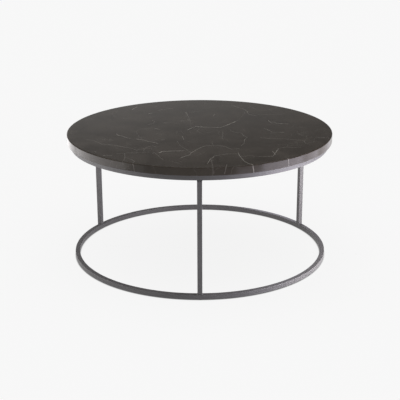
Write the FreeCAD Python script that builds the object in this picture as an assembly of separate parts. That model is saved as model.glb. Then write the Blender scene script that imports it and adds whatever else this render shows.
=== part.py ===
import FreeCAD, Part

import math
import os

# Round cocktail table: a polished stone disc on a welded frame of square steel bar.
# Millimetres, +Z up, origin on the floor under the middle of the top, front leg towards -Y.

# Stone top
TOP_DIAMETER = 914.4
TABLE_HEIGHT = 444.5
STONE_THICKNESS = 27.0
STONE_UPPER_ARRIS = 3.0
STONE_LOWER_ARRIS = 1.0

# Frame of square bar: two equal rings and the legs between them
STONE_OVERHANG = 12.7
BAR_SIDE = 15.875
BAR_CORNER = 1.2
LEG_NAMES = ["front", "rear_right", "rear_left"]
FRONT_LEG_ANGLE = -90.0

# Fillet welds on the two open sides of each leg, at its foot and its head
LEG_WELD_SIZE = 3.0
WELD_THROAT_SHARE = 0.36

# Clear bumpers that hold the stone off the upper ring
BUMPER_DIAMETER = 10.0
BUMPER_THICKNESS = 2.5
BUMPER_ROUND = 0.7
BUMPER_COUNT = 12

# Plywood board bonded to the underside of the stone, inside the upper ring
BOARD_THICKNESS = 9.0
BOARD_EDGE_GAP = 3.0
BOARD_CHAMFER = 1.5

# Steel tabs welded inside the upper ring
TAB_COUNT = 6
TAB_LENGTH = 40.0
TAB_WIDTH = 26.0
TAB_THICKNESS = 3.0
TAB_CORNER = 6.0
TAB_HOLE_INSET = 25.0
TAB_ROOT_GAP = 0.3
TAB_WELD_SIZE = 2.5
TAB_WELD_INSET = 2.0

# Screws from below through the tabs into the board
SCREW_DIAMETER = 6.0
SCREW_TIP_CHAMFER = 0.6
SCREW_TIP_GAP = 0.5
SCREW_HEAD_DIAMETER = 10.5
SCREW_HEAD_HEIGHT = 3.3
SCREW_HEAD_ROUND = 2.2
SOCKET_ACROSS_FLATS = 4.0
SOCKET_DEPTH = 2.0
SCREW_HOLE_CLEARANCE = 0.5

# Flat and spring washers under the screw heads
WASHER_DIAMETER = 12.5
WASHER_THICKNESS = 1.6
SPRING_WASHER_DIAMETER = 11.0
SPRING_WASHER_THICKNESS = 1.5
SPRING_WASHER_SLIT = 1.2
WASHER_CLEARANCE = 0.2

# Brass inserts pressed into the board from below
INSERT_DIAMETER = 9.0
INSERT_COVER = 1.0
INSERT_CHAMFER = 0.5
THREAD_CLEARANCE = 0.05
INSERT_CLEARANCE = 0.03

# Nylon glides pushed into the underside of the lower ring
GLIDE_COUNT = 6
GLIDE_HEAD_DIAMETER = 12.0
GLIDE_HEAD_THICKNESS = 1.5
GLIDE_HEAD_ROUND = 0.6
GLIDE_STEM_DIAMETER = 5.0
GLIDE_STEM_LENGTH = 7.0
GLIDE_STEM_CHAMFER = 0.8
GLIDE_CLEARANCE = 0.05

# How far a cutting body reaches past the face it cuts, and how near two levels count as one
CUT_OVERRUN = 1.0
LEVEL_TOLERANCE = 0.001

# Radii and levels that follow from the sizes above
stone_radius = TOP_DIAMETER / 2
ring_radius = stone_radius - STONE_OVERHANG
ring_inner_radius = ring_radius - BAR_SIDE
bar_radius = ring_radius - BAR_SIDE / 2
board_radius = ring_inner_radius - BOARD_EDGE_GAP
screw_circle_radius = ring_inner_radius - TAB_HOLE_INSET
stone_bottom = TABLE_HEIGHT - STONE_THICKNESS
upper_ring_top = stone_bottom - BUMPER_THICKNESS
upper_ring_bottom = upper_ring_top - BAR_SIDE
lower_ring_bottom = GLIDE_HEAD_THICKNESS
lower_ring_top = lower_ring_bottom + BAR_SIDE
board_bottom = stone_bottom - BOARD_THICKNESS
tab_bottom = board_bottom - TAB_THICKNESS
washer_bottom = tab_bottom - WASHER_THICKNESS
screw_seat = washer_bottom - SPRING_WASHER_THICKNESS
insert_top = stone_bottom - INSERT_COVER

Vector = FreeCAD.Vector
UP = Vector(0, 0, 1)
AXIS_FOOT = Vector(0, 0, 0)
FULL_TURN = 360.0


def turned(shape, angle):
    """Copy of a shape made at angle 0, swung round the table's axis."""
    swung = shape.copy()
    swung.rotate(AXIS_FOOT, UP, angle)
    return swung


def spread(count, first_angle):
    """Even angles round the whole circle."""
    return [first_angle + FULL_TURN * index / count for index in range(count)]


def disc(radius, bottom, thickness, centre_x=0):
    return Part.makeCylinder(radius, thickness, Vector(centre_x, 0, bottom), UP)


def rim_edges(solid, level):
    """Circular edges of an upright round solid that lie at one level."""
    circles = [edge for edge in solid.Edges if isinstance(edge.Curve, Part.Circle)]
    return [edge for edge in circles if abs(edge.Curve.Center.z - level) < LEVEL_TOLERANCE]


def bar_section(centre, across, up):
    """Face of the square bar with its rolled corners, set by its centre and two directions."""
    reach = BAR_SIDE / 2 - BAR_CORNER
    bends = []
    for right, top, start in ((1, -1, -90), (1, 1, 0), (-1, 1, 90), (-1, -1, 180)):
        middle = centre + across * (right * reach) + up * (top * reach)
        swings = [math.radians(start + turn) for turn in (0, 45, 90)]
        spokes = [across * math.cos(swing) + up * math.sin(swing) for swing in swings]
        bends.append([middle + spoke * BAR_CORNER for spoke in spokes])
    edges = []
    for bend, next_bend in zip(bends, bends[1:] + bends[:1]):
        edges.append(Part.Arc(*bend).toShape())
        edges.append(Part.LineSegment(bend[-1], next_bend[0]).toShape())
    return Part.Face(Part.Wire(edges))


def bar_ring(bottom):
    """Bar bent to a full ring and butt welded."""
    section = bar_section(Vector(bar_radius, 0, bottom + BAR_SIDE / 2), Vector(1, 0, 0), UP)
    return section.revolve(AXIS_FOOT, UP, FULL_TURN)


def lower_ring():
    ring = bar_ring(lower_ring_bottom)
    hole_radius = GLIDE_STEM_DIAMETER / 2 + GLIDE_CLEARANCE
    hole_depth = GLIDE_STEM_LENGTH + GLIDE_CLEARANCE
    hole = disc(hole_radius, lower_ring_bottom - CUT_OVERRUN, hole_depth + CUT_OVERRUN, bar_radius)
    for angle in spread(GLIDE_COUNT, FRONT_LEG_ANGLE):
        ring = ring.cut(turned(hole, angle))
    return ring


def leg(angle):
    section = bar_section(Vector(bar_radius, 0, lower_ring_top), Vector(1, 0, 0), Vector(0, 1, 0))
    return turned(section.extrude(UP * (upper_ring_bottom - lower_ring_top)), angle)


def hollow_fillet(root, along, up):
    """Face of a weld bead in its root corner, with a hollow outer side."""
    toe = root + along
    head = root + up
    throat = root + (along + up) * WELD_THROAT_SHARE
    edges = [
        Part.LineSegment(root, toe).toShape(),
        Part.Arc(toe, throat, head).toShape(),
        Part.LineSegment(head, root).toShape(),
    ]
    return Part.Face(Part.Wire(edges))


def leg_welds(angle):
    """Four beads: both sides of the leg, at the lower and the upper ring."""
    length = BAR_SIDE - BAR_CORNER - BAR_CORNER
    beads = []
    for level, rise in ((lower_ring_top, LEG_WELD_SIZE), (upper_ring_bottom, -LEG_WELD_SIZE)):
        for side in (-1, 1):
            root = Vector(bar_radius - length / 2, side * BAR_SIDE / 2, level)
            face = hollow_fillet(root, Vector(0, side * LEG_WELD_SIZE, 0), UP * rise)
            beads.append(turned(face.extrude(Vector(length, 0, 0)), angle))
    return Part.makeCompound(beads)


def stone_top():
    slab = disc(stone_radius, stone_bottom, STONE_THICKNESS)
    slab = slab.makeFillet(STONE_UPPER_ARRIS, rim_edges(slab, TABLE_HEIGHT))
    return slab.makeFillet(STONE_LOWER_ARRIS, rim_edges(slab, stone_bottom))


def bumper(angle):
    pad = disc(BUMPER_DIAMETER / 2, upper_ring_top, BUMPER_THICKNESS, bar_radius)
    pad = pad.makeFillet(BUMPER_ROUND, rim_edges(pad, stone_bottom))
    return turned(pad, angle)


def backer_board():
    board = disc(board_radius, board_bottom, BOARD_THICKNESS)
    board = board.makeChamfer(BOARD_CHAMFER, rim_edges(board, board_bottom))
    hole_radius = INSERT_DIAMETER / 2 + INSERT_CLEARANCE
    depth = insert_top - board_bottom
    hole = disc(hole_radius, board_bottom - CUT_OVERRUN, depth + CUT_OVERRUN, screw_circle_radius)
    for angle in tab_angles:
        board = board.cut(turned(hole, angle))
    return board


def threaded_insert(angle):
    length = insert_top - board_bottom
    sleeve = disc(INSERT_DIAMETER / 2, board_bottom, length, screw_circle_radius)
    sleeve = sleeve.makeChamfer(INSERT_CHAMFER, rim_edges(sleeve, insert_top))
    bore_radius = SCREW_DIAMETER / 2 + THREAD_CLEARANCE
    bore = disc(bore_radius, board_bottom - CUT_OVERRUN, length + CUT_OVERRUN * 2, screw_circle_radius)
    return turned(sleeve.cut(bore), angle)


def mounting_tab(angle):
    """Flat plate whose outer end follows the inside of the upper ring."""
    inner = ring_inner_radius - TAB_LENGTH
    corner = Vector(inner, -TAB_WIDTH / 2, tab_bottom)
    plate = Part.makeBox(TAB_LENGTH, TAB_WIDTH, TAB_THICKNESS, corner)
    uprights = [edge for edge in plate.Edges if edge.BoundBox.ZLength > TAB_THICKNESS / 2]
    inner_uprights = sorted(uprights, key=lambda edge: edge.BoundBox.XMin)[:2]
    plate = plate.makeFillet(TAB_CORNER, inner_uprights)
    plate = plate.common(disc(ring_inner_radius - TAB_ROOT_GAP, tab_bottom, TAB_THICKNESS))
    hole_radius = SCREW_DIAMETER / 2 + SCREW_HOLE_CLEARANCE
    hole_height = TAB_THICKNESS + CUT_OVERRUN * 2
    plate = plate.cut(disc(hole_radius, tab_bottom - CUT_OVERRUN, hole_height, screw_circle_radius))
    return turned(plate, angle)


def tab_weld(angle):
    """Bead under the tab, bent with the inside of the upper ring."""
    root = Vector(ring_inner_radius, 0, tab_bottom)
    face = hollow_fillet(root, Vector(-TAB_WELD_SIZE, 0, 0), UP * -TAB_WELD_SIZE)
    half = math.degrees(math.asin((TAB_WIDTH / 2 - TAB_WELD_INSET) / ring_inner_radius))
    return turned(face.revolve(AXIS_FOOT, UP, half * 2), angle - half)


def plain_washer(diameter, bottom, thickness):
    hole_radius = SCREW_DIAMETER / 2 + WASHER_CLEARANCE
    ring = disc(diameter / 2, bottom, thickness, screw_circle_radius)
    hole_height = thickness + CUT_OVERRUN * 2
    return ring.cut(disc(hole_radius, bottom - CUT_OVERRUN, hole_height, screw_circle_radius))


def flat_washer(angle):
    return turned(plain_washer(WASHER_DIAMETER, washer_bottom, WASHER_THICKNESS), angle)


def spring_washer(angle):
    """Split ring, drawn flat by the screw."""
    ring = plain_washer(SPRING_WASHER_DIAMETER, screw_seat, SPRING_WASHER_THICKNESS)
    corner = Vector(screw_circle_radius, -SPRING_WASHER_SLIT / 2, screw_seat - CUT_OVERRUN)
    slit_height = SPRING_WASHER_THICKNESS + CUT_OVERRUN * 2
    slit = Part.makeBox(SPRING_WASHER_DIAMETER, SPRING_WASHER_SLIT, slit_height, corner)
    return turned(ring.cut(slit), angle)


def tab_screw(angle):
    """Round headed screw with a hexagon socket, driven upwards."""
    tip = insert_top - SCREW_TIP_GAP
    head_bottom = screw_seat - SCREW_HEAD_HEIGHT
    head = disc(SCREW_HEAD_DIAMETER / 2, head_bottom, SCREW_HEAD_HEIGHT, screw_circle_radius)
    head = head.makeFillet(SCREW_HEAD_ROUND, rim_edges(head, head_bottom))
    shank_bottom = screw_seat - SCREW_HEAD_HEIGHT / 2
    shank = disc(SCREW_DIAMETER / 2, shank_bottom, tip - shank_bottom, screw_circle_radius)
    shank = shank.makeChamfer(SCREW_TIP_CHAMFER, rim_edges(shank, tip))
    socket_radius = SOCKET_ACROSS_FLATS / 2 / math.cos(math.radians(30))
    centre = Vector(screw_circle_radius, 0, head_bottom - CUT_OVERRUN)
    corners = []
    for swing in spread(6, 0):
        spoke = Vector(math.cos(math.radians(swing)), math.sin(math.radians(swing)), 0)
        corners.append(centre + spoke * socket_radius)
    socket = Part.Face(Part.makePolygon(corners + corners[:1]))
    socket = socket.extrude(UP * (SOCKET_DEPTH + CUT_OVERRUN))
    return turned(head.fuse(shank).removeSplitter().cut(socket), angle)


def floor_glide(angle):
    """Flat round head on the floor, with a stem up into the ring."""
    head = disc(GLIDE_HEAD_DIAMETER / 2, 0, GLIDE_HEAD_THICKNESS, bar_radius)
    head = head.makeFillet(GLIDE_HEAD_ROUND, rim_edges(head, 0))
    stem_height = GLIDE_HEAD_THICKNESS / 2 + GLIDE_STEM_LENGTH
    stem = disc(GLIDE_STEM_DIAMETER / 2, GLIDE_HEAD_THICKNESS / 2, stem_height, bar_radius)
    stem = stem.makeChamfer(GLIDE_STEM_CHAMFER, rim_edges(stem, lower_ring_bottom + GLIDE_STEM_LENGTH))
    return turned(head.fuse(stem).removeSplitter(), angle)


leg_angles = spread(len(LEG_NAMES), FRONT_LEG_ANGLE)
tab_angles = spread(TAB_COUNT, FRONT_LEG_ANGLE + FULL_TURN / TAB_COUNT / 2)

nodes = {
    "stone_top": stone_top(),
    "backer_board": backer_board(),
    "threaded_inserts": Part.makeCompound([threaded_insert(angle) for angle in tab_angles]),
    "upper_ring": bar_ring(upper_ring_bottom),
    "lower_ring": lower_ring(),
    "tab_welds": Part.makeCompound([tab_weld(angle) for angle in tab_angles]),
    "tab_screws": Part.makeCompound([tab_screw(angle) for angle in tab_angles]),
    "flat_washers": Part.makeCompound([flat_washer(angle) for angle in tab_angles]),
    "spring_washers": Part.makeCompound([spring_washer(angle) for angle in tab_angles]),
}
for name, angle in zip(LEG_NAMES, leg_angles):
    nodes[f"{name}_leg"] = leg(angle)
    nodes[f"{name}_leg_welds"] = leg_welds(angle)
for number, angle in enumerate(tab_angles, start=1):
    nodes[f"mounting_tab_{number}"] = mounting_tab(angle)
for number, angle in enumerate(spread(BUMPER_COUNT, FRONT_LEG_ANGLE), start=1):
    nodes[f"stone_bumper_{number}"] = bumper(angle)
for number, angle in enumerate(spread(GLIDE_COUNT, FRONT_LEG_ANGLE), start=1):
    nodes[f"floor_glide_{number}"] = floor_glide(angle)

os.makedirs("parts", exist_ok=True)
for name, shape in nodes.items():
    shape.exportStep(f"parts/{name}.step")
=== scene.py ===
import math

import bpy
import numpy as np
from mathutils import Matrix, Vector, noise
from mathutils.geometry import delaunay_2d_cdt


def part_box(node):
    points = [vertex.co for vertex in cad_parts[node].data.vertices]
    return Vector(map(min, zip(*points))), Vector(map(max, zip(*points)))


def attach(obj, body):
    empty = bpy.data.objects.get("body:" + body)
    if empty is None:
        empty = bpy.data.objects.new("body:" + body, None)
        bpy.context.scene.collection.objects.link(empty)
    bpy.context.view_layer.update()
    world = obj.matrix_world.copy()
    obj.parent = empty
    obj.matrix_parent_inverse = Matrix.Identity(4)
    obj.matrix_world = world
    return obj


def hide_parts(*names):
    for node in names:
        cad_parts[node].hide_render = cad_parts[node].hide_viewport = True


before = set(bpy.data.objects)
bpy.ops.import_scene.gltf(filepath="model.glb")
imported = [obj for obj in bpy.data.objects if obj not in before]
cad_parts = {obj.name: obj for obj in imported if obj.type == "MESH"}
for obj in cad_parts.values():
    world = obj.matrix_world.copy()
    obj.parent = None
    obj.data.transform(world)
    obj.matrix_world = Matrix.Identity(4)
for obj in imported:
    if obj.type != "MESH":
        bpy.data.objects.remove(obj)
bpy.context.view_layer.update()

# Lower ring
# Square steel bar rolled cold into a hoop, butt welded and ground, then brushed along its length
# and lacquered in a gunmetal tone. It lies on the floor and carries the three legs.

ring_low, ring_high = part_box("lower_ring")
bar_side = ring_high.z - ring_low.z
bar_radius = (ring_high.x - ring_low.x - bar_side) / 2
lower_ring_top = ring_high.z
bar_corner = 0.0012
corner_steps = 4
flat_shares = (0.05, 0.35, 0.65, 0.95)
ring_steps = 288
full_turn = 2 * math.pi
up = Vector((0, 0, 1))
ripple_depth = 0.00009
ripples_per_metre = 22.0
least_wear_share = 0.3
streaks_per_metre = 26.0
streak_crowding = 55.0
streak_share = 0.7
blotches_per_metre = 17.0
rubs_per_metre = 60.0
rub_strength = 0.40
rub_span = (0.45, 0.75)
brush_depth = 0.00012
brush_relief = 0.15
brush_tone_span = (0.36, 0.64)
brush_rough_span = (0.34, 0.66)
whole_span = (0.0, 1.0)
steel_rough = (0.42, 0.56)
steel_dark = (0.126, 0.122, 0.125, 1.0)
steel_light = (0.168, 0.163, 0.166, 1.0)
steel_bare = (0.250, 0.245, 0.244, 1.0)
satin_lacquer = {"Metallic": 0.25, "Specular IOR Level": 0.4}


def turned(pair, quarters):
    """A place or a way across the bar, turned about its middle by so many quarters."""
    across, rise = pair
    turn_cos = (1, 0, -1, 0)[quarters]
    turn_sin = (0, 1, 0, -1)[quarters]
    return across * turn_cos - rise * turn_sin, across * turn_sin + rise * turn_cos


def bar_outline():
    """Points round the bar: place across and up, the way out, girth so far, nearness to a corner."""
    reach = bar_side / 2 - bar_corner
    arc = math.pi / 2 * bar_corner
    outline = []
    girth = 0.0
    for quarter in range(4):
        spots = []
        for step in range(corner_steps + 1):
            share = step / corner_steps
            swing = math.pi / 2 * share
            way = (math.cos(swing), math.sin(swing))
            place = (reach + bar_corner * way[0], reach + bar_corner * way[1])
            worn = least_wear_share + (1 - least_wear_share) * math.sin(math.pi * share)
            spots.append((place, way, girth + arc * share, worn))
        for share in flat_shares:
            place = (reach - 2 * reach * share, bar_side / 2)
            spots.append((place, (0, 1), girth + arc + 2 * reach * share, 0.0))
        for place, way, so_far, worn in spots:
            outline.append((turned(place, quarter), turned(way, quarter), so_far, worn))
        girth += arc + 2 * reach
    return outline, girth


def new_piece(name, points, faces, flat_faces=0):
    """A mesh object, smooth but for its last few faces."""
    mesh = bpy.data.meshes.new(name)
    mesh.from_pydata(points, [], faces)
    smooth = [True] * (len(faces) - flat_faces) + [False] * flat_faces
    mesh.polygons.foreach_set("use_smooth", smooth)
    piece = bpy.data.objects.new(name, mesh)
    bpy.context.scene.collection.objects.link(piece)
    return piece


def mark_points(piece, name, values):
    piece.data.attributes.new(name, "FLOAT", "POINT").data.foreach_set("value", values)


def square_bar(name, stations, closed):
    """Bar through stations of centre, across and rise, with its run and girth as UV and its worn corners."""
    outline, full_girth = bar_outline()
    around = len(outline)
    points = []
    worn_points = []
    runs = [0.0]
    for (centre, across, rise), (before, _, _) in zip(stations, stations[:1] + stations[:-1]):
        if points:
            runs.append(runs[-1] + (centre - before).length)
        for place, way, _, worn in outline:
            spot = centre + across * place[0] + rise * place[1]
            swell = noise.noise(spot * ripples_per_metre) * ripple_depth
            points.append(spot + (across * way[0] + rise * way[1]) * swell)
            worn_points.append(worn)
    runs.append(runs[-1] + (stations[0][0] - stations[-1][0]).length)
    girths = [so_far for _, _, so_far, _ in outline] + [full_girth]
    faces = []
    unwrap = []
    for step in range(len(stations) if closed else len(stations) - 1):
        here = step * around
        there = (step + 1) % len(stations) * around
        for spot in range(around):
            beside = (spot + 1) % around
            faces.append((here + spot, there + spot, there + beside, here + beside))
            for run, girth in ((0, 0), (1, 0), (1, 1), (0, 1)):
                unwrap += (runs[step + run], girths[spot + girth])
    ends = 0
    if not closed:
        last = (len(stations) - 1) * around
        faces.append(tuple(range(around)))
        faces.append(tuple(range(last + around - 1, last - 1, -1)))
        ends = 2
        for place, _, _, _ in outline + outline[::-1]:
            unwrap += (place[0], place[1])
    piece = new_piece(name, points, faces, ends)
    piece.data.uv_layers.new(name="bar_run").data.foreach_set("uv", unwrap)
    mark_points(piece, "worn_corner", worn_points)
    return piece


def spoke(angle):
    return Vector((math.cos(angle), math.sin(angle), 0.0))


def bar_ring(name, level):
    """The bar bent round the table's axis, its middle at one level."""
    stations = []
    for step in range(ring_steps):
        out = spoke(full_turn * step / ring_steps)
        stations.append((out * bar_radius + up * level, out, up))
    return square_bar(name, stations, closed=True)


def new_finish(name):
    """An empty finish: the material, its node tree and its surface shader."""
    finish = bpy.data.materials.new(name)
    finish.use_nodes = True
    tree = finish.node_tree
    surface = next(node for node in tree.nodes if node.type == "BSDF_PRINCIPLED")
    return finish, tree, surface


def feed(tree, node, inputs):
    """Sets a node's inputs: a socket is linked and anything else is its value."""
    for name, value in inputs.items():
        if isinstance(value, bpy.types.NodeSocket):
            tree.links.new(value, node.inputs[name])
        else:
            node.inputs[name].default_value = value


def put(tree, kind, inputs=None, **choices):
    """One more node in a finish, with its own choices and its inputs."""
    node = tree.nodes.new("ShaderNode" + kind)
    for name, value in choices.items():
        setattr(node, name, value)
    feed(tree, node, inputs or {})
    return node


def sums(tree, operation, first, second):
    return put(tree, "Math", {0: first, 1: second}, operation=operation).outputs[0]


def rescaled(tree, value, span, new_span):
    """A value stretched from one span to another and held within it."""
    ends = {"From Min": span[0], "From Max": span[1], "To Min": new_span[0], "To Max": new_span[1]}
    return put(tree, "MapRange", {"Value": value, **ends}).outputs["Result"]


def blended(tree, share, first, second):
    """Two patterns in one: the first with its share, the second with the rest."""
    return sums(tree, "ADD", sums(tree, "MULTIPLY", first, share), sums(tree, "MULTIPLY", second, 1 - share))


def mixed(tree, amount, first, second):
    """One colour laid over another."""
    return put(tree, "Mix", {0: amount, 6: first, 7: second}, data_type="RGBA").outputs[2]


def toned(tree, pattern, span, first, second):
    """A colour that turns into another as a pattern rises through a span."""
    return mixed(tree, rescaled(tree, pattern, span, whole_span), first, second)


def raised(tree, pattern, depth, relief):
    """The way a surface faces where a pattern raises it."""
    return put(tree, "Bump", {"Strength": relief, "Distance": depth, "Height": pattern}).outputs[0]


def cloud(tree, place, scale, detail=3.0, **more):
    """Soft random pattern, 0 to 1, of so many patches to the metre."""
    return put(tree, "TexNoise", {"Vector": place, "Scale": scale, "Detail": detail, **more}).outputs["Fac"]


def object_place(tree):
    return put(tree, "TexCoord").outputs["Object"]


def gunmetal_steel():
    """Brushed bar: fine streaks along the run, soft blotches and corners rubbed brighter."""
    finish, tree, surface = new_finish("gunmetal_steel")
    place = object_place(tree)
    girth = put(tree, "SeparateXYZ", {0: put(tree, "UVMap", uv_map="bar_run").outputs[0]}).outputs["Y"]
    across = sums(tree, "MULTIPLY", girth, streak_crowding)
    streak_inputs = {"Vector": place, "W": across, "Scale": streaks_per_metre, "Detail": 4.0}
    streaks = put(tree, "TexNoise", streak_inputs, noise_dimensions="4D").outputs["Fac"]
    blotches = cloud(tree, place, blotches_per_metre, detail=4.0)
    brushing = blended(tree, streak_share, streaks, blotches)
    tone = toned(tree, brushing, brush_tone_span, steel_dark, steel_light)
    worn = put(tree, "Attribute", attribute_name="worn_corner").outputs["Fac"]
    rubbed = rescaled(tree, cloud(tree, place, rubs_per_metre, detail=5.0), rub_span, (0.0, rub_strength))
    tone = mixed(tree, sums(tree, "MULTIPLY", worn, rubbed), tone, steel_bare)
    rough = rescaled(tree, brushing, brush_rough_span, steel_rough)
    bump = raised(tree, brushing, brush_depth, brush_relief)
    feed(tree, surface, {"Base Color": tone, "Roughness": rough, "Normal": bump, **satin_lacquer})
    return finish


def dress(piece, finish, slot, *nodes):
    """Gives a piece its finish, fixes it to the table and puts it in place of the nodes it stands for."""
    piece.data.materials.clear()
    piece.data.materials.append(finish)
    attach(piece, "root")
    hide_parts(*nodes)


steel = gunmetal_steel()
dress(bar_ring("lower_ring_bar", ring_low.z + bar_side / 2), steel, "frame_steel", "lower_ring")

# Floor glides
# Six round pads of black nylon, moulded with a stem that is pushed into a hole under the lower ring.
# Only their thin heads show, as a dark line between the ring and the floor.

nylon_black = (0.012, 0.012, 0.013, 1.0)
nylon_scuffed = (0.030, 0.030, 0.031, 1.0)
nylon_rough = (0.42, 0.62)
scuffs_per_metre = 420.0
scuff_span = (0.45, 0.75)
grains_per_metre = 2600.0
grain_depth = 0.00005
grain_relief = 0.3
glide_count = 6


def black_nylon():
    """Moulded nylon with a fine grain, scuffed in patches."""
    finish, tree, surface = new_finish("black_nylon")
    place = object_place(tree)
    scuffs = rescaled(tree, cloud(tree, place, scuffs_per_metre, detail=5.0), scuff_span, whole_span)
    bump = raised(tree, cloud(tree, place, grains_per_metre, detail=2.0), grain_depth, grain_relief)
    rough = rescaled(tree, scuffs, whole_span, nylon_rough)
    colour = mixed(tree, scuffs, nylon_black, nylon_scuffed)
    feed(tree, surface, {"Base Color": colour, "Roughness": rough, "Normal": bump})
    return finish


def coat_node(name, finish):
    """A new finish on a piece that keeps the shape it came with."""
    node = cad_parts[name]
    node.data.materials.clear()
    node.data.materials.append(finish)


nylon = black_nylon()
for number in range(1, glide_count + 1):
    coat_node(f"floor_glide_{number}", nylon)

# Legs
# Three lengths of the same square bar, sawn square and stood between the rings, one at the front
# and two at the back, with their outer and inner faces flush with the rings.

leg_angles = {"front": -90.0, "rear_right": 30.0, "rear_left": 150.0}
leg_steps = 60
upper_ring_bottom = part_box("upper_ring")[0].z


def ways_at(angle):
    """The ways out from the table's axis and sideways, at an angle in degrees."""
    out = spoke(math.radians(angle))
    return out, Vector((out.y, -out.x, 0.0))


for leg_name, angle in leg_angles.items():
    out, sideways = ways_at(angle)
    stations = []
    for step in range(leg_steps + 1):
        level = lower_ring_top + (upper_ring_bottom - lower_ring_top) * step / leg_steps
        stations.append((out * bar_radius + up * level, out, sideways))
    dress(square_bar(f"{leg_name}_leg_bar", stations, closed=False), steel, "frame_steel", f"{leg_name}_leg")

# Leg welds
# Small fillet beads laid by hand on the two open sides of each leg, at its foot and its head, and thin
# runs over the seam on the outer and inner faces, dressed almost flush before the lacquer.

fillet_size = 0.003
fillet_hollow_share = 0.22
seam_reach = 0.0017
seam_proud = 0.00028
seam_hollow_share = 0.5
bead_steps = 40
bead_turns = 9
bead_pitch = 0.0014
bead_sink = 0.0002
bead_end_share = 0.12
bead_ripple_share = 0.10
bead_wander_share = 0.09
bead_wanders_per_metre = 900.0
spatter_per_metre = 700.0
spatter_depth = 0.0002
spatter_relief = 0.35
spatter_tone_span = (0.4, 0.7)
cloud_span = (0.3, 0.7)
weld_rough = (0.38, 0.56)
weld_tone = (0.120, 0.116, 0.118, 1.0)
weld_bright = (0.205, 0.200, 0.201, 1.0)


def weld_bead(root, run, side, rise, size, hollow):
    """Points and faces of a rippled fillet from its root, along a run, leaning on two walls."""
    length = run.length
    points = []
    for step in range(bead_steps + 1):
        share = step / bead_steps
        along = root + run * share
        end_gap = min(share, 1 - share) * length / size
        swell = math.sqrt(min(1.0, bead_end_share + end_gap))
        wander = 1 + bead_wander_share * noise.noise(along * bead_wanders_per_metre)
        points.append(along - (side + rise) * bead_sink)
        for turn in range(bead_turns + 1):
            lean = turn / bead_turns
            bow = lean * (1 - lean)
            wave = math.cos(full_turn * (share * length + bow * bead_pitch) / bead_pitch)
            reach = size * swell * wander * (1 + bead_ripple_share * bow * 4 * wave)
            toe = (1 - lean) ** 2 + 2 * bow * hollow
            head = lean ** 2 + 2 * bow * hollow
            side_sink = bead_sink if turn == bead_turns else 0.0
            rise_sink = bead_sink if turn == 0 else 0.0
            outward = side * (toe * reach - side_sink) + rise * (head * reach - rise_sink)
            points.append(along + outward)
    around = bead_turns + 2
    faces = []
    for step in range(bead_steps):
        here = step * around
        there = here + around
        for spot in range(around):
            beside = (spot + 1) % around
            faces.append((here + spot, here + beside, there + beside, there + spot))
    faces.append(tuple(range(around - 1, -1, -1)))
    faces.append(tuple(bead_steps * around + spot for spot in range(around)))
    if side.cross(rise).dot(run) < 0:
        faces = [face[::-1] for face in faces]
    return points, faces


def joined_beads(name, beads):
    """One piece from several beads."""
    points = []
    faces = []
    for bead_points, bead_faces in beads:
        first = len(points)
        points += bead_points
        faces += [tuple(first + spot for spot in face) for face in bead_faces]
    return new_piece(name, points, faces)


def weld_finish():
    """Lacquered bead: rippled metal, a little brighter on its crests."""
    finish, tree, surface = new_finish("lacquered_weld")
    place = object_place(tree)
    spatter = cloud(tree, place, spatter_per_metre, detail=5.0)
    tone = toned(tree, spatter, spatter_tone_span, weld_tone, weld_bright)
    rough = rescaled(tree, spatter, cloud_span, weld_rough)
    bump = raised(tree, spatter, spatter_depth, spatter_relief)
    feed(tree, surface, {"Base Color": tone, "Roughness": rough, "Normal": bump, **satin_lacquer})
    return finish


weld = weld_finish()
bead_length = bar_side - 2 * bar_corner
for leg_name, angle in leg_angles.items():
    out, sideways = ways_at(angle)
    beads = []
    for level, rise in ((lower_ring_top, up), (upper_ring_bottom, -up)):
        foot = out * bar_radius + up * level
        for side in (sideways, -sideways):
            root = foot + side * (bar_side / 2) - out * (bead_length / 2)
            beads.append(weld_bead(root, out * bead_length, side, rise, fillet_size, fillet_hollow_share))
        for face_out in (out, -out):
            root = foot + face_out * (bar_side / 2 - seam_reach + seam_proud) - sideways * (bead_length / 2)
            for lean in (rise, -rise):
                run = sideways * bead_length
                beads.append(weld_bead(root, run, face_out, lean, seam_reach, seam_hollow_share))
    dress(joined_beads(f"{leg_name}_leg_beads", beads), weld, "frame_steel", f"{leg_name}_leg_welds")

# Upper ring
# A second hoop, the same size as the lower one, welded to the heads of the legs. It sits just inside
# the edge of the stone, and a thin dark gap shows between the two.

dress(bar_ring("upper_ring_bar", upper_ring_bottom + bar_side / 2), steel, "frame_steel", "upper_ring")

# Mounting tabs
# Six small plates of flat steel with a screw hole, welded to the inside of the upper ring under the
# board. They are lacquered with the frame, and one bead runs below the root of each.

tab_count = 6
first_tab_angle = -60.0
tab_spacing = 360.0 / tab_count
tab_weld_size = 0.0025
tab_weld_half_run = 0.011
rolling_marks_per_metre = (90.0, 900.0, 900.0)
rolling_depth = 0.0001
rolling_relief = 0.2
rolling_tone_span = (0.35, 0.65)
tab_rough = (0.40, 0.55)
tab_dark = (0.110, 0.106, 0.108, 1.0)
tab_light = (0.170, 0.165, 0.167, 1.0)


def lacquered_plate():
    """Flat steel with the drawn-out marks of the rolls under the lacquer."""
    finish, tree, surface = new_finish("lacquered_plate")
    place = object_place(tree)
    stretched = put(tree, "Mapping", {"Vector": place, "Scale": rolling_marks_per_metre}).outputs[0]
    rolling = cloud(tree, stretched, 1.0, detail=4.0)
    tone = toned(tree, rolling, rolling_tone_span, tab_dark, tab_light)
    rough = rescaled(tree, rolling, cloud_span, tab_rough)
    bump = raised(tree, rolling, rolling_depth, rolling_relief)
    feed(tree, surface, {"Base Color": tone, "Roughness": rough, "Normal": bump, **satin_lacquer})
    return finish


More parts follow.
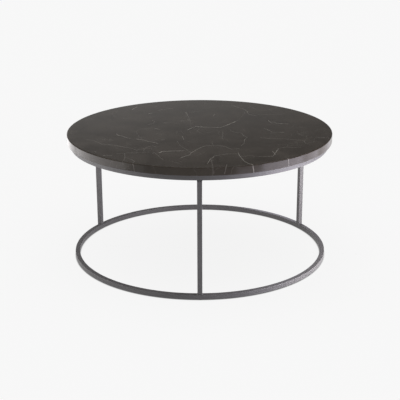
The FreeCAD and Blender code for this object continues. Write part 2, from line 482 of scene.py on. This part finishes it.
plate = lacquered_plate()
tab_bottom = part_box("mounting_tab_1")[0].z
wall = math.sqrt((bar_radius - bar_side / 2) ** 2 - tab_weld_half_run ** 2)
tab_beads = []
for number in range(tab_count):
    coat_node(f"mounting_tab_{number + 1}", plate)
    out, sideways = ways_at(first_tab_angle + tab_spacing * number)
    root = out * wall + up * tab_bottom - sideways * tab_weld_half_run
    run = sideways * (2 * tab_weld_half_run)
    tab_beads.append(weld_bead(root, run, -out, -up, tab_weld_size, fillet_hollow_share))
dress(joined_beads("tab_beads", tab_beads), weld, "frame_steel", "tab_welds")

# Stone bumpers
# Twelve clear rubber dots stuck to the top of the upper ring. They keep the stone off the steel and
# make the thin gap that shows all round.

bumper_count = 12
rubber_clear = (0.62, 0.61, 0.57, 1.0)
rubber_cloudy = (0.78, 0.77, 0.73, 1.0)
rubber_rough = (0.22, 0.40)
rubber_clearness = {"Transmission Weight": 0.7, "IOR": 1.45}
haze_per_metre = 500.0


def clear_rubber():
    """Soft clear rubber with a slight haze."""
    finish, tree, surface = new_finish("clear_rubber")
    haze = cloud(tree, object_place(tree), haze_per_metre, detail=4.0)
    colour = mixed(tree, haze, rubber_clear, rubber_cloudy)
    rough = rescaled(tree, haze, cloud_span, rubber_rough)
    feed(tree, surface, {"Base Color": colour, "Roughness": rough, **rubber_clearness})
    return finish


rubber = clear_rubber()
for number in range(1, bumper_count + 1):
    coat_node(f"stone_bumper_{number}", rubber)

# Camera
# A long lens a few steps in front of the table and above it, tilted down to it, with a slight roll.
# The veins of the stone are placed through it.

image_width = 400
lens_pixels = 985.8
sensor_width = 36.0
eye = Vector((0.0021, -3.315, 1.3067))
aim = Vector((0.0010, 0.0, 0.1862))
roll = -0.0032
sight_reach = 400.0

look = (aim - eye).normalized()
level_right = look.cross(up).normalized()
level_up = level_right.cross(look)
view_right = level_right * math.cos(roll) + level_up * math.sin(roll)
view_up = level_up * math.cos(roll) - level_right * math.sin(roll)

camera_data = bpy.data.cameras.new("photo_camera")
camera_data.sensor_fit = "HORIZONTAL"
camera_data.sensor_width = sensor_width
camera_data.lens = lens_pixels / image_width * sensor_width
camera_data.clip_end = sight_reach
camera = bpy.data.objects.new("photo_camera", camera_data)
bpy.context.scene.collection.objects.link(camera)
bpy.context.scene.camera = camera
for column, axis in enumerate((view_right, view_up, -look, eye)):
    for row in range(3):
        camera.matrix_world[row][column] = axis[row]

# Stone top
# One disc of dark brown marble, cut, calibrated and polished, with a softly rounded arris above and a
# smaller one below. Thin pale veins break through it and run on down the edge.

stone_low, stone_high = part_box("stone_top")
stone_radius = (stone_high.x - stone_low.x) / 2
upper_arris = 0.003
lower_arris = 0.001
arris_steps = 8
edge_columns = 1080
edge_rows = 14
guard_gap = 0.0012
least_column_turn = 0.0004
column_turn_digits = 5
joining_gap = 1e-6
least_square = 1e-12
vein_half_width = 0.0013
vein_step = 0.0035
vein_tip = 0.0015
vein_seed = 3
vein_seed_step = 7.3
vein_wander = 0.0016
vein_bends_per_metre = 55.0
vein_kinks_per_metre = 230.0
bend_to_kink = 3
vein_fades_per_metre = 38.0
vein_mean_share = 0.8
vein_fade_share = 0.5
vein_breaks_per_metre = 140.0
vein_break_span = (0.30, 0.60)
vein_break_shares = (0.45, 1.0)
vein_rough = 0.12
clouds_per_metre = 9.0
specks_per_metre = 330.0
cloud_share = 0.8
hair_bends_per_metre = 16.0
hair_bend_reach = 0.09
hair_strength = 0.15
hair_patch_span = (0.50, 0.68)
middle_tint = (0.5, 0.5, 0.5)
stone_rough = (0.14, 0.20)
stone_gloss = 0.22
stone_dark = (0.0355, 0.0278, 0.0210, 1.0)
stone_light = (0.0680, 0.0545, 0.0425, 1.0)
vein_pale = (0.640, 0.600, 0.550, 1.0)

# Each net of hair cracks: its cells to the metre, the width of a crack and the patches to the metre.
hair_nets = ((9.0, 0.012, 8.0), (21.0, 0.016, 13.0))

# Each vein: how strong it is, then the places it passes, as pixels of the photograph.
vein_pixels = (
    (0.88, (238, 152.5), (239.4, 155), (241, 157.7), (244.5, 161.3), (249, 163.6), (253, 165.6),
     (253.6, 172.5)),
    (0.59, (207.3, 163.8), (210.8, 158.8), (214.3, 156.1), (220, 154.9), (228, 153.8), (237, 153.9)),
    (1.19, (188, 129.8), (192, 127.5), (196, 126.6), (210, 127.4), (221, 127.3), (227.5, 124.9),
     (236, 121.3)),
    (0.14, (187, 112.3), (188, 115.5), (190, 120), (190.3, 124), (191.5, 127.4)),
    (0.31, (223, 131.8), (222.4, 134), (222.9, 136), (221.9, 137.6), (222.9, 139.2)),
    (0.37, (230, 130.6), (236, 132.4), (241, 132.8), (244, 135.8), (247.2, 137), (244.6, 139.8),
     (244.3, 143), (241, 146)),
    (0.53, (203.5, 146), (211, 145.6), (220, 145.5), (226, 146.8), (231.5, 149.1), (239, 148.5)),
    (0.80, (180, 158.2), (184, 156.5), (189, 155), (192, 152.6), (197.5, 149), (204, 146)),
    (0.23, (177, 141), (180, 145.5), (183.5, 147.8), (188, 150.8), (191.5, 153)),
    (1.18, (159, 152.8), (162, 151.5), (170, 151), (184, 150.6)),
    (0.26, (152.5, 153.6), (154, 152.4), (157, 154.5), (160.5, 158), (163.5, 159.6)),
    (0.31, (172, 161.5), (180, 163.5)),
    (0.98, (136, 138.8), (144, 140.2), (148, 141.5), (153, 142.3), (158, 143.4)),
    (0.86, (116.5, 133.7), (118, 135.3), (122, 135.9), (126, 137.5), (131.5, 138.4)),
    (0.34, (136, 150.5), (143, 148.6), (149, 146.5), (152, 145.6), (156, 146.8)),
    (0.59, (102, 144.3), (108, 144.4), (116, 145.5), (124, 147.1), (132, 148.5), (136, 150)),
    (0.25, (86, 139.6), (94, 140.7), (102, 143.9)),
    (1.00, (132.3, 109.6), (134, 108.3), (137, 106.8)),
    (1.90, (148.3, 113.6), (151.8, 113.4)),
    (0.15, (150, 128.3), (154.5, 128.4)),
    (0.92, (154.5, 128.4), (156.5, 128.6), (160, 129.5)),
    (0.36, (152.5, 120.3), (155, 121.8), (152.5, 123.5), (148, 124.6)),
    (0.78, (158, 110.3), (164, 109.6), (168, 108.7), (173, 108.6)),
    (0.56, (182.5, 136), (183.2, 138), (183.8, 139.6)),
    (0.42, (213, 116.1), (215, 113.7)),
    (0.56, (231.5, 105), (236.5, 106.9), (244.5, 109.3), (247, 111.3), (248.5, 114.2), (256, 115.8)),
    (0.90, (268.3, 120.2), (271, 122.6), (275, 122.8), (280, 123.5), (288, 123.7)),
    (0.54, (264, 128.5), (268, 129.7), (272, 132), (284, 132.6)),
    (0.38, (260, 137.3), (268, 138.3), (284, 138.5), (298, 140.1), (304, 140.7)),
    (0.43, (304, 140.7), (305.9, 143.6)),
    (0.13, (306.6, 135.6), (307.5, 138.4), (304.3, 141)),
    (0.36, (279.5, 148.2), (284, 147.4), (296, 147.6), (301, 147.2)),
    (0.70, (272.8, 151.3), (274, 152.6), (275.4, 154.4)),
    (0.73, (260, 156.5), (266, 156.2), (273, 156.3), (276.5, 151.4), (278.6, 148.3)),
    (0.25, (240.5, 156.7), (248, 155.5), (253, 155.7), (260, 156.7)),
    (0.61, (131.5, 159.4), (134.6, 161.6), (134.3, 171.5)),
    (0.25, (211.6, 159.6), (212.4, 165.5), (212.9, 173.5)),
    (0.58, (226.5, 164.5), (226.3, 167), (224.6, 173.5)),
    (0.74, (287, 158.2), (288.5, 160.5), (288.6, 166)),
    (0.27, (116, 153.8), (124.6, 153.2), (124.8, 157), (128, 158), (131.5, 159.6)),
    (0.65, (185.6, 112.4), (186.6, 114), (187.4, 115.4)),
    (0.18, (236, 121.3), (240, 118.2), (243.3, 114.6), (245.3, 112.2)),
    (0.36, (211.7, 141.6), (212.9, 144.6)),
    (0.30, (124.8, 156.6), (123.9, 160.2), (123.2, 164.5)),
    (0.68, (103.2, 155.7), (107, 155.3), (112.2, 155.5)),
    (0.50, (126, 153), (136, 152.9), (146, 152.3)),
    (0.25, (139.5, 129), (145, 128.7), (151, 128.8)),
    (0.28, (258, 114.6), (268, 114.4), (282, 114.2)),
)

flat_reach = stone_radius - upper_arris
edge_top = stone_high.z - upper_arris
edge_bottom = stone_low.z + lower_arris
edge_run = flat_reach + math.pi / 2 * upper_arris


def stone_place(pixel):
    """Where the line of sight through a pixel meets the top of the stone or, past its rim, its edge."""
    half = image_width / 2
    sight = look * lens_pixels + view_right * (pixel[0] - half) + view_up * (half - pixel[1])
    on_top = eye + sight * ((stone_high.z - eye.z) / sight.z)
    if on_top.xy.length < flat_reach:
        return on_top
    flat_eye = eye.xy
    flat_sight = sight.xy
    square = flat_sight.length_squared
    half_slope = flat_eye.dot(flat_sight) / square
    gap = (flat_eye.length_squared - stone_radius ** 2) / square
    return eye + sight * (-half_slope - math.sqrt(max(0.0, half_slope ** 2 - gap)))


def run_out(spot):
    """How far a place is from the middle of the top, measured over the arris and down the edge."""
    if spot.z > edge_top + upper_arris / 2:
        return spot.xy.length
    return edge_run + edge_top - spot.z


def run_place(angle, run):
    """The place on the stone at an angle, so far out from the middle of the top."""
    if run < flat_reach:
        return spoke(angle) * run + up * stone_high.z
    if run > edge_run:
        return spoke(angle) * stone_radius + up * (edge_top + edge_run - run)
    swing = (run - flat_reach) / upper_arris
    reach = flat_reach + upper_arris * math.sin(swing)
    level = edge_top + upper_arris * math.cos(swing)
    return spoke(angle) * reach + up * level


def between(start, end, share):
    """A place part of the way from one to another, over the arris where that lies between them."""
    if min(start.z, end.z) > edge_top:
        return start.lerp(end, share)
    angles = [math.atan2(spot.y, spot.x) for spot in (start, end)]
    runs = [run_out(spot) for spot in (start, end)]
    return run_place(angles[0] + (angles[1] - angles[0]) * share, runs[0] + (runs[1] - runs[0]) * share)


def vein_course(number, pixels):
    """Short steps along a vein, wandering a little as a crack does, with a tip past each end."""
    places = [stone_place(pixel) for pixel in pixels]
    course = []
    for start, end in zip(places, places[1:]):
        steps = max(1, round((end - start).length / vein_step))
        course += [between(start, end, step / steps) for step in range(steps)]
    course.append(places[-1])
    seed = Vector((number * vein_seed_step, 0.0, 0.0))
    wandered = []
    for spot in course:
        bend = noise.noise_vector(spot * vein_bends_per_metre + seed)
        kink = noise.noise_vector(spot * vein_kinks_per_metre + seed)
        moved = spot + (bend + kink / bend_to_kink) * vein_wander
        if spot.z > edge_top:
            moved.z = spot.z
        if spot.xy.length > flat_reach:
            moved.xy = moved.xy.normalized() * spot.xy.length
        wandered.append(moved)
    first_tip = wandered[0] + (wandered[0] - wandered[1]).normalized() * vein_tip
    last_tip = wandered[-1] + (wandered[-1] - wandered[-2]).normalized() * vein_tip
    return [first_tip] + wandered + [last_tip]


noise.seed_set(vein_seed)
vein_ends = []
vein_levels = []
ribbon_points = []
ribbon_edges = []
for number, (strength, *pixels) in enumerate(vein_pixels):
    course = vein_course(number, pixels)
    levels = [0.0]
    for spot in course[1:-1]:
        fading = noise.noise(spot * vein_fades_per_metre + up * number)
        levels.append(strength * (vein_mean_share + vein_fade_share * fading))
    levels.append(0.0)
    vein_ends += list(zip(course, course[1:]))
    vein_levels += list(zip(levels, levels[1:]))
    last = None
    for before, spot, after in zip(course[:1] + course[:-1], course, course[1:] + course[-1:]):
        if spot.xy.length > flat_reach - 2 * guard_gap:
            last = None
            continue
        along = (after - before).xy.normalized()
        beside = Vector((-along.y, along.x)) * vein_half_width
        first = len(ribbon_points)
        ribbon_points += [spot.xy + beside, spot.xy, spot.xy - beside]
        if last is not None:
            ribbon_edges += [(last + line, first + line) for line in range(3)]
        last = first

edge_veins = [end for start, end in vein_ends if end.xy.length > flat_reach - 2 * guard_gap]
all_turns = set(full_turn * step / edge_columns for step in range(edge_columns))
for spot in edge_veins:
    middle = math.atan2(spot.y, spot.x) % full_turn
    for offset in (-2, -1, 0, 1, 2):
        turn = middle + offset * vein_half_width / 2 / stone_radius
        all_turns.add(round(turn, column_turn_digits))
all_turns = sorted(all_turns)
next_turns = all_turns[1:] + [2 * full_turn]
edge_turns = [turn for turn, after in zip(all_turns, next_turns) if after - turn > least_column_turn]
columns = len(edge_turns)

flat_points = [spoke(turn).xy * flat_reach for turn in edge_turns]
flat_points += [spoke(turn).xy * (flat_reach - guard_gap) for turn in edge_turns]
flat_edges = []
for first in (0, columns):
    flat_edges += [(first + step, first + (step + 1) % columns) for step in range(columns)]
flat_edges += [(2 * columns + start, 2 * columns + end) for start, end in ribbon_edges]
top = delaunay_2d_cdt(flat_points + ribbon_points, flat_edges, [], 0, joining_gap)
top_points, _, top_faces, top_origins, _, _ = top
rim_places = {}
for place, origins in enumerate(top_origins):
    for origin in origins:
        if origin < columns:
            rim_places[origin] = place

profile = []
for step in range(1, arris_steps + 1):
    swing = math.pi / 2 * step / arris_steps
    profile.append((flat_reach + upper_arris * math.sin(swing), edge_top + upper_arris * math.cos(swing)))
for step in range(1, edge_rows + 1):
    profile.append((stone_radius, edge_top + (edge_bottom - edge_top) * step / edge_rows))
for step in range(1, arris_steps + 1):
    swing = math.pi / 2 * step / arris_steps
    reach = stone_radius - lower_arris * (1 - math.cos(swing))
    profile.append((reach, edge_bottom - lower_arris * math.sin(swing)))
profile.append((stone_radius - lower_arris - guard_gap, stone_low.z))

points = [Vector((spot.x, spot.y, stone_high.z)) for spot in top_points]
faces = [tuple(face) for face in top_faces]
above = [rim_places[column] for column in range(columns)]
for radius, level in profile:
    below = list(range(len(points), len(points) + columns))
    points += [spoke(turn) * radius + up * level for turn in edge_turns]
    for column in range(columns):
        beside = (column + 1) % columns
        faces.append((above[column], below[column], below[beside], above[beside]))
    above = below
points.append(up * stone_low.z)
faces += [(above[column], len(points) - 1, above[(column + 1) % columns]) for column in range(columns)]


def vein_strengths(points):
    """How much vein shows at each point: full on a vein's middle line and nothing at its sides."""
    spots = np.array([tuple(point) for point in points])
    shown = np.zeros(len(spots))
    for (start, end), (level, next_level) in zip(vein_ends, vein_levels):
        start = np.array(start)
        run = np.array(end) - start
        near = np.abs(spots - start).max(axis=1) < vein_step + 2 * vein_half_width
        gap = spots[near] - start
        share = np.clip(gap @ run / (run @ run + least_square), 0.0, 1.0)
        away = np.linalg.norm(gap - share[:, None] * run, axis=1)
        level_here = level + (next_level - level) * share
        shown[near] = np.maximum(shown[near], level_here * np.clip(1 - away / vein_half_width, 0.0, 1.0))
    return shown


def dark_marble():
    """Polished brown-black marble: soft clouds, fine grain, placed veins and a faint net of hair cracks."""
    finish, tree, surface = new_finish("dark_marble")
    place = object_place(tree)
    clouds = cloud(tree, place, clouds_per_metre, detail=6.0, Roughness=0.62, Distortion=0.5)
    specks = cloud(tree, place, specks_per_metre)
    ground = toned(tree, blended(tree, cloud_share, clouds, specks), cloud_span, stone_dark, stone_light)
    warp_inputs = {"Vector": place, "Scale": hair_bends_per_metre, "Detail": 4.0}
    warp = put(tree, "TexNoise", warp_inputs).outputs["Color"]
    warp = put(tree, "VectorMath", {0: warp, 1: middle_tint}, operation="SUBTRACT").outputs[0]
    warp = put(tree, "VectorMath", {0: warp, "Scale": hair_bend_reach}, operation="SCALE").outputs[0]
    bent = put(tree, "VectorMath", {0: place, 1: warp}, operation="ADD").outputs[0]
    hair = None
    for cells_per_metre, width, patches_per_metre in hair_nets:
        net_inputs = {"Vector": bent, "Scale": cells_per_metre}
        crack = put(tree, "TexVoronoi", net_inputs, feature="DISTANCE_TO_EDGE").outputs["Distance"]
        line = rescaled(tree, crack, (0.0, width), (1.0, 0.0))
        patch = rescaled(tree, cloud(tree, place, patches_per_metre), hair_patch_span, (0.0, hair_strength))
        shown = sums(tree, "MULTIPLY", line, patch)
        hair = shown if hair is None else sums(tree, "MAXIMUM", hair, shown)
    placed = put(tree, "Attribute", attribute_name="vein").outputs["Fac"]
    breaks = cloud(tree, place, vein_breaks_per_metre, detail=4.0)
    broken = rescaled(tree, breaks, vein_break_span, vein_break_shares)
    veins = sums(tree, "MAXIMUM", sums(tree, "MULTIPLY", placed, broken), hair)
    colour = mixed(tree, veins, ground, vein_pale)
    polish = rescaled(tree, clouds, cloud_span, stone_rough)
    rough = sums(tree, "ADD", polish, sums(tree, "MULTIPLY", veins, vein_rough))
    feed(tree, surface, {"Base Color": colour, "Roughness": rough, "Specular IOR Level": stone_gloss})
    return finish


stone = new_piece("stone_disc", points, faces)
mark_points(stone, "vein", vein_strengths(points))
dress(stone, dark_marble(), "veined_stone", "stone_top")

# Backer board
# A disc of birch plywood bonded under the stone, inside the upper ring, with its lower edge chamfered.
# Its underside is stained dark, so that it doesn't show, and the plies can be seen on its edge.

ply_face = (0.060, 0.043, 0.030, 1.0)
ply_grain = (0.105, 0.075, 0.052, 1.0)
ply_pale = (0.210, 0.150, 0.098, 1.0)
ply_thickness = 0.0013
ply_change_shares = (0.45, 0.55)
ply_rough = (0.52, 0.70)
fibres_per_metre = (6.0, 150.0, 150.0)
fibre_depth = 0.0002
fibre_relief = 0.3
figure_span = (0.3, 0.75)
grain_share = 0.65
face_slope_span = (0.9, 0.95)


def stained_plywood():
    """Birch ply: drawn-out grain and rings on its faces, pale and dark plies on its edge."""
    finish, tree, surface = new_finish("stained_plywood")
    place = object_place(tree)
    level = put(tree, "SeparateXYZ", {0: place}).outputs["Z"]
    fibres = put(tree, "Mapping", {"Vector": place, "Scale": fibres_per_metre}).outputs[0]
    grain = cloud(tree, fibres, 1.0, detail=6.0, Distortion=0.6)
    ring_inputs = {"Vector": fibres, "Scale": 0.22, "Distortion": 7.0, "Detail": 3.0}
    rings = put(tree, "TexWave", ring_inputs).outputs["Fac"]
    figure = blended(tree, grain_share, grain, rings)
    veneer = toned(tree, figure, figure_span, ply_face, ply_grain)
    plies = sums(tree, "PINGPONG", sums(tree, "SUBTRACT", level, stone_low.z), ply_thickness)
    ply_change = [ply_thickness * share for share in ply_change_shares]
    edge = toned(tree, plies, ply_change, ply_grain, ply_pale)
    upright = put(tree, "SeparateXYZ", {0: put(tree, "NewGeometry").outputs["True Normal"]}).outputs["Z"]
    colour = toned(tree, sums(tree, "ABSOLUTE", upright, 0.0), face_slope_span, edge, veneer)
    rough = rescaled(tree, figure, cloud_span, ply_rough)
    bump = raised(tree, figure, fibre_depth, fibre_relief)
    feed(tree, surface, {"Base Color": colour, "Roughness": rough, "Normal": bump})
    return finish


coat_node("backer_board", stained_plywood())

# Inserts and fasteners
# Brass sleeves pressed into the board, and zinc plated screws with a hexagon socket that go up into
# them through the tabs, each over a spring washer and a flat washer.

brass_tone = (0.62, 0.43, 0.17, 1.0)
brass_dull = (0.40, 0.27, 0.11, 1.0)
zinc_tone = (0.56, 0.57, 0.58, 1.0)
zinc_dull = (0.36, 0.37, 0.38, 1.0)
small_metal_rough = (0.26, 0.46)
tarnish_per_metre = 260.0
tarnish_span = (0.35, 0.7)
tool_marks_per_metre = 1800.0
tool_mark_depth = 0.00005
tool_mark_relief = 0.15


def small_metal(name, bright, dull):
    """Turned or plated metal with a fine, uneven tone."""
    finish, tree, surface = new_finish(name)
    place = object_place(tree)
    tarnish = cloud(tree, place, tarnish_per_metre, detail=5.0)
    colour = toned(tree, tarnish, tarnish_span, bright, dull)
    rough = rescaled(tree, tarnish, cloud_span, small_metal_rough)
    tool_marks = cloud(tree, place, tool_marks_per_metre, detail=2.0)
    bump = raised(tree, tool_marks, tool_mark_depth, tool_mark_relief)
    feed(tree, surface, {"Base Color": colour, "Roughness": rough, "Normal": bump, "Metallic": 1.0})
    return finish


coat_node("threaded_inserts", small_metal("turned_brass", brass_tone, brass_dull))
zinc = small_metal("plated_zinc", zinc_tone, zinc_dull)
for name in ("tab_screws", "flat_washers", "spring_washers"):
    coat_node(name, zinc)

# Studio floor
# A plain pale floor that runs far back, so that no horizon shows. It looks evenly pale to the eye and
# in polished surfaces, and still takes the soft shadow of the table: a faint real one in its diffuse
# share, and a painted contact shadow, where ambient occlusion dims its glow close under the ring and glides.

floor_reach = 150.0
floor_sides = 64
floor_white = (1.0, 1.0, 1.0, 1.0)
floor_glow = 0.880
# How far out from the table the painted contact shadow reaches.
painted_shade_reach = 0.004
floor_shade = (0.08, 0.08, 0.08, 1.0)
floor_bounce = (0.62, 0.62, 0.62, 1.0)

floor_points = [spoke(full_turn * side / floor_sides) * floor_reach for side in range(floor_sides)]
floor = new_piece("studio_floor", floor_points, [tuple(range(floor_sides))])
floor_finish = bpy.data.materials.new("pale_floor")
floor_finish.use_nodes = True
floor_tree = floor_finish.node_tree
floor_tree.nodes.clear()
path = put(floor_tree, "LightPath")
seen = sums(floor_tree, "MAXIMUM", path.outputs["Is Camera Ray"], path.outputs["Is Glossy Ray"])
seen = sums(floor_tree, "MAXIMUM", seen, path.outputs["Is Transmission Ray"])
# Painted contact shadow: ambient occlusion darkens the floor's glow within a few millimetres of the table.
painted_contact_shade = put(floor_tree, "AmbientOcclusion", {"Distance": painted_shade_reach}).outputs["AO"]
glow_level_with_painted_shade = sums(floor_tree, "MULTIPLY", painted_contact_shade, floor_glow)
glow_with_painted_shade = put(floor_tree, "Emission", {"Color": floor_white, "Strength": glow_level_with_painted_shade}).outputs[0]
shaded = put(floor_tree, "BsdfDiffuse", {"Color": floor_shade}).outputs[0]
bounce = put(floor_tree, "BsdfDiffuse", {"Color": floor_bounce}).outputs[0]
looked_at = put(floor_tree, "AddShader", {0: glow_with_painted_shade, 1: shaded}).outputs[0]
floor_surface = put(floor_tree, "MixShader", {0: seen, 1: bounce, 2: looked_at}).outputs[0]
put(floor_tree, "OutputMaterial", {"Surface": floor_surface})
floor.data.materials.append(floor_finish)

# Studio light
# Rows of soft panels at the right of the table, weaker ones at its left and one low behind it, all
# screened off from the floor, in a dim room with a bright ceiling and a lighter wall at the back.

front_angle = -90.0
right_tint = (0.95, 0.915, 1.065)
floor_panel_tint = (1.02, 0.98, 0.94)
left_tint = (1.0, 0.97, 0.98)

# Each panel: how far round it stands from the front, to the right, and how wide it is, both in degrees,
# its distance, the levels of its foot and its head, its brightness and its tint.
panels = {
    "right_floor_panel": (72.0, 44.0, 0.72, 0.0, 0.22, 5.8, floor_panel_tint),
    "right_front_panel": (33.0, 18.0, 1.00, 0.0, 0.26, 2.3, right_tint),
    "right_panel": (60.0, 36.0, 1.00, 0.0, 0.42, 5.0, right_tint),
    "right_side_panel": (87.0, 18.0, 1.00, 0.0, 0.42, 2.4, right_tint),
    "right_far_panel": (117.0, 34.0, 1.35, 0.0, 0.42, 0.65, right_tint),
    "right_back_panel": (157.0, 14.0, 0.85, 0.05, 0.42, 2.2, right_tint),
    "left_front_panel": (-47.0, 16.0, 1.40, 0.0, 0.42, 0.7, left_tint),
    "left_panel": (-85.0, 60.0, 1.40, 0.0, 0.42, 2.5, left_tint),
    "left_back_panel": (-130.0, 30.0, 1.40, 0.0, 0.42, 1.6, left_tint),
}


def soft_panel(name, angle, spread, distance, foot, head, brightness, tint):
    """An upright lamp that faces the table's axis and leaves the floor alone."""
    lamp = bpy.data.lights.new(name, "AREA")
    lamp.shape = "RECTANGLE"
    lamp.size = 2 * distance * math.tan(math.radians(spread / 2))
    lamp.size_y = head - foot
    lamp.energy = math.pi * lamp.size * lamp.size_y * brightness
    lamp.color = tint
    panel = bpy.data.objects.new(name, lamp)
    inward = -spoke(math.radians(front_angle + angle))
    panel.location = up * ((foot + head) / 2) - inward * distance
    panel.rotation_euler = inward.to_track_quat("-Z", "Y").to_euler()
    panel.visible_camera = False
    panel.light_linking.receiver_collection = screened
    bpy.context.scene.collection.objects.link(panel)


screened = bpy.data.collections.new("screened_from_panels")
screened.objects.link(floor)
screened.collection_objects[0].light_linking.link_state = "EXCLUDE"
for name, settings in panels.items():
    soft_panel(name, *settings)

# How bright the room is: by the height of the line of sight, then the share of that which its walls
# give towards the left, the right and the front, up to the level where the ceiling begins.
room_levels = (
    (0.0, 0.50), (0.15, 0.46), (0.20, 0.44), (0.21, 0.39), (0.235, 0.25), (0.26, 0.12),
    (0.30, 0.09), (0.42, 0.07), (0.55, 0.30), (0.75, 0.74), (0.90, 1.26), (1.0, 1.40),
)
left_wall_share = 1.30
right_wall_share = 0.58
front_wall_share = 0.15
side_turn = 0.16
front_turn = 0.60
wall_head = 0.42
ceiling_start = 0.50

world = bpy.data.worlds.new("studio_room")
bpy.context.scene.world = world
world.use_nodes = True
room = world.node_tree
room.nodes.clear()
way = put(room, "SeparateXYZ", {0: put(room, "TexCoord").outputs["Generated"]})
fade = put(room, "ValToRGB", {"Fac": way.outputs["Z"]})
stops = fade.color_ramp.elements
while len(stops) < len(room_levels):
    stops.new(0.5)
for stop, (place, level) in zip(stops, room_levels):
    stop.position = place
    stop.color = (level, level, level, 1.0)
sides = rescaled(room, way.outputs["X"], (-side_turn, side_turn), (left_wall_share, right_wall_share))
depth = rescaled(room, way.outputs["Y"], (-front_turn, front_turn), (front_wall_share, 1.0))
walls = sums(room, "MULTIPLY", sides, depth)
lit = rescaled(room, way.outputs["Z"], (wall_head, ceiling_start), (walls, 1.0))
room_glow = put(room, "Background", {"Color": fade.outputs["Color"], "Strength": lit}).outputs[0]
put(room, "OutputWorld", {"Surface": room_glow})

bpy.context.scene.view_settings.view_transform = "Standard"
